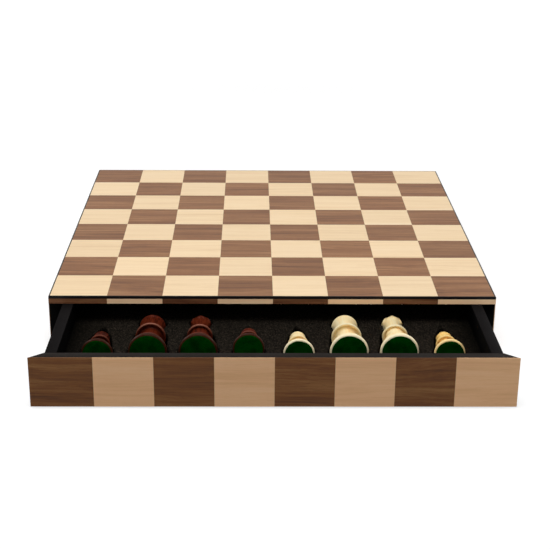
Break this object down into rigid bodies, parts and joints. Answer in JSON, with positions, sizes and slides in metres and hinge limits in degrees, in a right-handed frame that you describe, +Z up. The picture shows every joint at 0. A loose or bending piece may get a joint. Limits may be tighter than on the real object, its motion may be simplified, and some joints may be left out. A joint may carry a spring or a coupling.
{
  "type": "chess box with drawer",
  "caption": "Flat veneered chessboard that is the lid of a shallow box, with a full-width sliding drawer and a foam insert that holds a set of turned chessmen.",
  "frame": {"origin": "middle of the felt under the case, on the table", "axes": "+X to the right seen from the drawer's front, +Y to the back of the case, +Z up out of the board"},
  "size_m": [0.4056, 0.5192, 0.0535],
  "materials": {
    "maple_veneer": "satin lacquer over maple veneer",
    "walnut_veneer": "satin lacquer over walnut veneer",
    "edging": "black stained edging, satin",
    "case_paint": "black painted board",
    "drawer_paint": "satin charcoal paint",
    "foam": "dark grey foam with a speckled skin",
    "dark_chessmen": "stained and polished boxwood",
    "light_chessmen": "polished natural boxwood",
    "piece_felt": "green felt",
    "base_felt": "green felt"
  },
  "bodies": {
    "case": {"top_core": "case_paint", "board_light_squares": "maple_veneer", "board_dark_squares": "walnut_veneer", "board_edging": "edging", "rail_light_strips": "maple_veneer", "rail_dark_strips": "walnut_veneer", "left_side_panel": "case_paint", "right_side_panel": "case_paint", "back_panel": "case_paint", "bottom_panel": "case_paint", "base_felt": "base_felt", "stop_blocks": "case_paint", "left_light_veneers": "maple_veneer", "left_dark_veneers": "walnut_veneer", "right_light_veneers": "maple_veneer", "right_dark_veneers": "walnut_veneer", "back_light_veneers": "maple_veneer", "back_dark_veneers": "walnut_veneer"},
    "drawer": {"drawer_front": "drawer_paint", "front_light_veneers": "maple_veneer", "front_dark_veneers": "walnut_veneer", "drawer_left_side": "drawer_paint", "drawer_right_side": "drawer_paint", "drawer_back": "drawer_paint", "drawer_bottom": "drawer_paint", "foam_insert": "foam", "dark_king": "dark_chessmen", "dark_queen": "dark_chessmen", "dark_bishops": "dark_chessmen", "dark_knights": "dark_chessmen", "dark_rooks": "dark_chessmen", "dark_pawns": "dark_chessmen", "dark_piece_felts": "piece_felt", "light_king": "light_chessmen", "light_queen": "light_chessmen", "light_bishops": "light_chessmen", "light_knights": "light_chessmen", "light_rooks": "light_chessmen", "light_pawns": "light_chessmen", "light_piece_felts": "piece_felt"}
  },
  "joints": [
    {"name": "drawer_slide", "type": "slide", "parent": "case", "child": "drawer", "axis": [0, -1, 0], "range_m": [-0.1152, 0.2235]}
  ]
}
